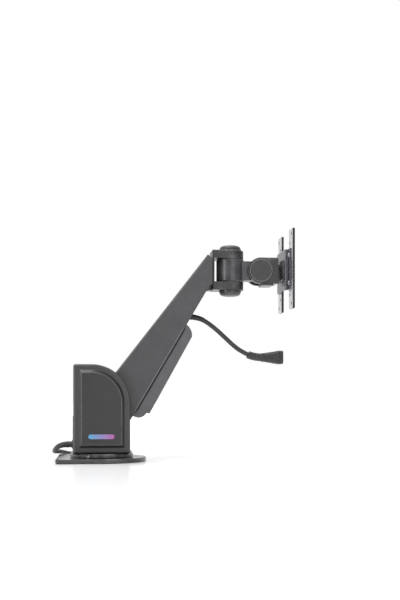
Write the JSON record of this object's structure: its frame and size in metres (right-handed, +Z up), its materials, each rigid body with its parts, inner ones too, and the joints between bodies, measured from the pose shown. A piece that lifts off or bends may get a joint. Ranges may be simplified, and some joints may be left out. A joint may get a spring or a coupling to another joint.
{
  "type": "monitor arm",
  "caption": "Counterbalanced desk monitor arm: parallel-link arm on a panning column, with a swivel, tilt and rotate head and VESA straps.",
  "frame": {"origin": "centre of the pan axis on the desk surface, at the underside of the base plate", "axes": "+Z up along the pan axis, +X the way the arm reaches at rest, -Z out of the desk plate's underside"},
  "size_m": [0.3475, 0.2772, 0.3353],
  "materials": {
    "plate_paint": "satin grey paint",
    "disc_paint": "satin grey paint",
    "washer_polymer": "moulded bearing polymer",
    "turned_steel": "turned",
    "screw_black": "black oxide",
    "bracket_steel": "black paint",
    "column_plastic": "fine moulded texture, charcoal",
    "badge_print": "plain two-tone badge",
    "link_steel": "dark paint",
    "arm_plastic": "fine moulded texture, charcoal",
    "spring_cover_plastic": "fine moulded texture, grey",
    "guide_plastic": "black moulding",
    "lead_jacket": "matt lead jacket",
    "lead_moulding": "moulded plug body",
    "spring_paint": "black gas spring tube",
    "rod_chrome": "polished rod",
    "fork_paint": "satin dark grey",
    "cap_plastic": "satin dark cap",
    "barrel_gloss": "semi-gloss black",
    "tilt_paint": "satin black",
    "tilt_cap_plastic": "satin dark cap",
    "plate_black": "black paint",
    "channel_grey": "grey metallic paint",
    "strap_silver": "satin silver"
  },
  "bodies": {
    "base": {"base_plate": "plate_paint", "thrust_washer": "washer_polymer", "pan_hub": "turned_steel", "pan_retainer": "turned_steel", "pan_screw": "screw_black"},
    "column": {"friction_ring": "washer_polymer", "swivel_disc": "disc_paint", "column_bracket": "bracket_steel", "disc_screws": "screw_black", "side_cover_left": "column_plastic", "side_cover_right": "column_plastic", "spine_cover": "column_plastic", "cable_door": "column_plastic", "front_trim": "column_plastic", "upper_base_pin": "turned_steel", "lower_base_pin": "turned_steel", "spring_foot_pin": "turned_steel", "pivot_washers": "washer_polymer", "lower_spacers": "turned_steel", "column_badge": "badge_print", "outlet_gland": "guide_plastic", "rear_lead": "lead_jacket", "rear_coil": "lead_jacket", "rear_tail": "lead_jacket", "mains_plug": "lead_moulding"},
    "arm": {"upper_link_left": "link_steel", "upper_link_right": "link_steel", "link_ties": "turned_steel", "spring_head_pin": "turned_steel", "arm_cover": "arm_plastic", "spring_cover": "spring_cover_plastic", "lead_guide": "guide_plastic", "front_lead": "lead_jacket", "lead_boot": "lead_moulding", "lead_connector": "lead_moulding"},
    "lower_link": {"lower_link_left": "link_steel", "lower_link_right": "link_steel", "lower_link_tie": "turned_steel"},
    "spring_tube": {"gas_spring_tube": "spring_paint"},
    "spring_rod": {"gas_spring_rod": "rod_chrome"},
    "fork": {"head_fork": "fork_paint", "upper_head_pin": "turned_steel", "lower_head_pin": "turned_steel", "swivel_pin": "turned_steel", "top_cap": "cap_plastic", "bottom_cap": "cap_plastic"},
    "knuckle": {"swivel_knuckle": "barrel_gloss", "swivel_bush": "washer_polymer", "swivel_washers": "washer_polymer", "tilt_washers": "washer_polymer"},
    "tilt_head": {"tilt_yoke": "tilt_paint", "tilt_pin": "turned_steel", "tilt_cap_left": "tilt_cap_plastic", "tilt_cap_right": "tilt_cap_plastic", "rotate_bolt": "turned_steel"},
    "screen_bracket": {"head_plate": "plate_black", "centre_channel": "channel_grey", "vesa_strap_left": "strap_silver", "vesa_strap_right": "strap_silver", "strap_rivets": "turned_steel"}
  },
  "joints": [
    {"name": "pan", "type": "hinge", "parent": "base", "child": "column", "pos_m": [0, 0, 0.0065], "axis": [0, 0, 1], "range_deg": [-90, 90]},
    {"name": "lift", "type": "hinge", "parent": "column", "child": "arm", "pos_m": [0.0135, 0, 0.07689], "axis": [0, -1, 0], "range_deg": [-30, 10]},
    {"name": "lower_link_turn", "type": "hinge", "parent": "column", "child": "lower_link", "pos_m": [0.0135, 0, 0.05189], "axis": [0, -1, 0], "range_deg": [-30.5, 10.5]},
    {"name": "head_level", "type": "hinge", "parent": "arm", "child": "fork", "pos_m": [0.1505, 0, 0.28], "axis": [0, -1, 0], "range_deg": [-10.5, 30.5]},
    {"name": "spring_swing", "type": "hinge", "parent": "arm", "child": "spring_tube", "pos_m": [0.11653, 0, 0.23054], "axis": [0, -1, 0], "range_deg": [-2, 5]},
    {"name": "rod_slide", "type": "slide", "parent": "spring_tube", "child": "spring_rod", "axis": [-0.4443, 0, -0.8959], "range_m": [-0.0155, 0.0055]},
    {"name": "swivel", "type": "hinge", "parent": "fork", "child": "knuckle", "pos_m": [0.1885, 0, 0.2784], "axis": [0, 0, 1], "range_deg": [-90, 90]},
    {"name": "tilt", "type": "hinge", "parent": "knuckle", "child": "tilt_head", "pos_m": [0.2318, 0, 0.2778], "axis": [0, 1, 0], "range_deg": [-30, 30]},
    {"name": "rotate", "type": "hinge", "parent": "tilt_head", "child": "screen_bracket", "pos_m": [0.2632, 0, 0.2778], "axis": [1, 0, 0], "range_deg": [-90, 90]}
  ],
  "couplings": [
    {"joint": "lower_link_turn", "follows": "lift", "ratio": 1},
    {"joint": "head_level", "follows": "lift", "ratio": -1},
    {"joint": "spring_swing", "follows": "lift", "ratio": -0.15},
    {"joint": "rod_slide", "follows": "lift", "m_per_rad": 0.0286}
  ]
}
